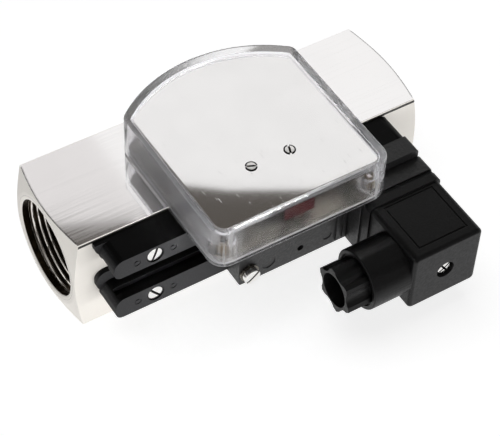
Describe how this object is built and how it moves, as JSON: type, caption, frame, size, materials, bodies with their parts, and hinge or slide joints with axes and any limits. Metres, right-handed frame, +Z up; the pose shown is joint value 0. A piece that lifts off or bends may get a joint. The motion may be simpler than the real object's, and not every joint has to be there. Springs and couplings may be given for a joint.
{
  "type": "variable area flow meter",
  "caption": "Square nickel-plated flow meter body with threaded ports, a clear-covered dial head on top and a sliding limit switch with an angled connector plug on rails.",
  "frame": {"origin": "centre of the inlet port's mouth, on the flow axis", "axes": "+X along the flow towards the outlet, +Z up through the dial head, switch rails on the -Y side"},
  "size_m": [0.152, 0.109, 0.066],
  "materials": {
    "nickel": "polished nickel plate on brass",
    "nickel_screw": "bright nickel plate",
    "steel": "turned stainless steel",
    "brass": "turned brass",
    "magnet": "ground ferrite",
    "black_plastic": "moulded black, faintly satin",
    "plug_plastic": "moulded black, fine grain",
    "base_plastic": "moulded grey",
    "red_plastic": "moulded red",
    "clear_plastic": "clear, polished",
    "mirror_plate": "mirror polished with fine scratches",
    "rubber": "moulded rubber",
    "reed_glass": "clear glass"
  },
  "bodies": {
    "meter": {"flow_body": "nickel", "inlet_spider": "steel", "taper_sleeve": "steel", "outlet_spider": "steel", "retaining_ring": "steel", "guide_rod": "steel", "rod_nuts": "steel", "return_spring": "steel", "upper_rail": "black_plastic", "lower_rail": "black_plastic", "rail_screws": "nickel_screw", "dial_base": "base_plastic", "base_screws": "nickel_screw", "dial_cover": "clear_plastic", "cover_inserts": "brass", "cover_screws": "nickel_screw", "plate_pillars": "brass", "dial_plate": "mirror_plate", "dial_screws": "nickel_screw", "pivot_pin": "steel", "pivot_clip": "steel"},
    "float": {"float": "brass", "float_magnet": "magnet", "magnet_cap": "brass"},
    "follower": {"follower_arm": "base_plastic", "follower_magnet": "magnet", "pointer_flag": "red_plastic"},
    "switch": {"switch_housing": "black_plastic", "reed_switch": "reed_glass", "clamp_washer": "nickel_screw", "socket_base": "black_plastic", "contact_blades": "nickel_screw", "flat_gasket": "rubber", "plug_housing": "plug_plastic", "terminal_block": "black_plastic", "gland_washer": "black_plastic", "gland_seal": "rubber"},
    "clamp": {"clamp_screw": "nickel_screw"},
    "plug_fixing": {"plug_screw": "nickel_screw"},
    "gland": {"gland_nut": "plug_plastic"}
  },
  "joints": [
    {"name": "float_lift", "type": "slide", "parent": "meter", "child": "float", "axis": [1, 0, 0], "range_m": [0, 0.022], "stiffness_N_per_m": 40, "deforming": ["return_spring"]},
    {"name": "follower_turn", "type": "hinge", "parent": "meter", "child": "follower", "pos_m": [0.076, -0.0338, 0.03], "axis": [0, 0, 1], "range_deg": [-33.11, 0]},
    {"name": "switch_slide", "type": "slide", "parent": "meter", "child": "switch", "axis": [1, 0, 0], "range_m": [-0.045, 0]},
    {"name": "clamp_screw_turn", "type": "hinge", "parent": "switch", "child": "clamp", "pos_m": [0.0616, -0.045, -0.00495], "axis": [0, -1, 0], "range_deg": [0, 360]},
    {"name": "plug_screw_turn", "type": "hinge", "parent": "switch", "child": "plug_fixing", "pos_m": [0.1214, -0.08, 0.00325], "axis": [0, -1, 0], "range_deg": [0, 360]},
    {"name": "gland_nut_turn", "type": "hinge", "parent": "switch", "child": "gland", "pos_m": [0.085, -0.0733, 0.00325], "axis": [-1, 0, 0], "range_deg": [0, 360]}
  ],
  "couplings": [
    {"joint": "follower_turn", "follows": "float_lift", "rad_per_m": -26.227}
  ]
}
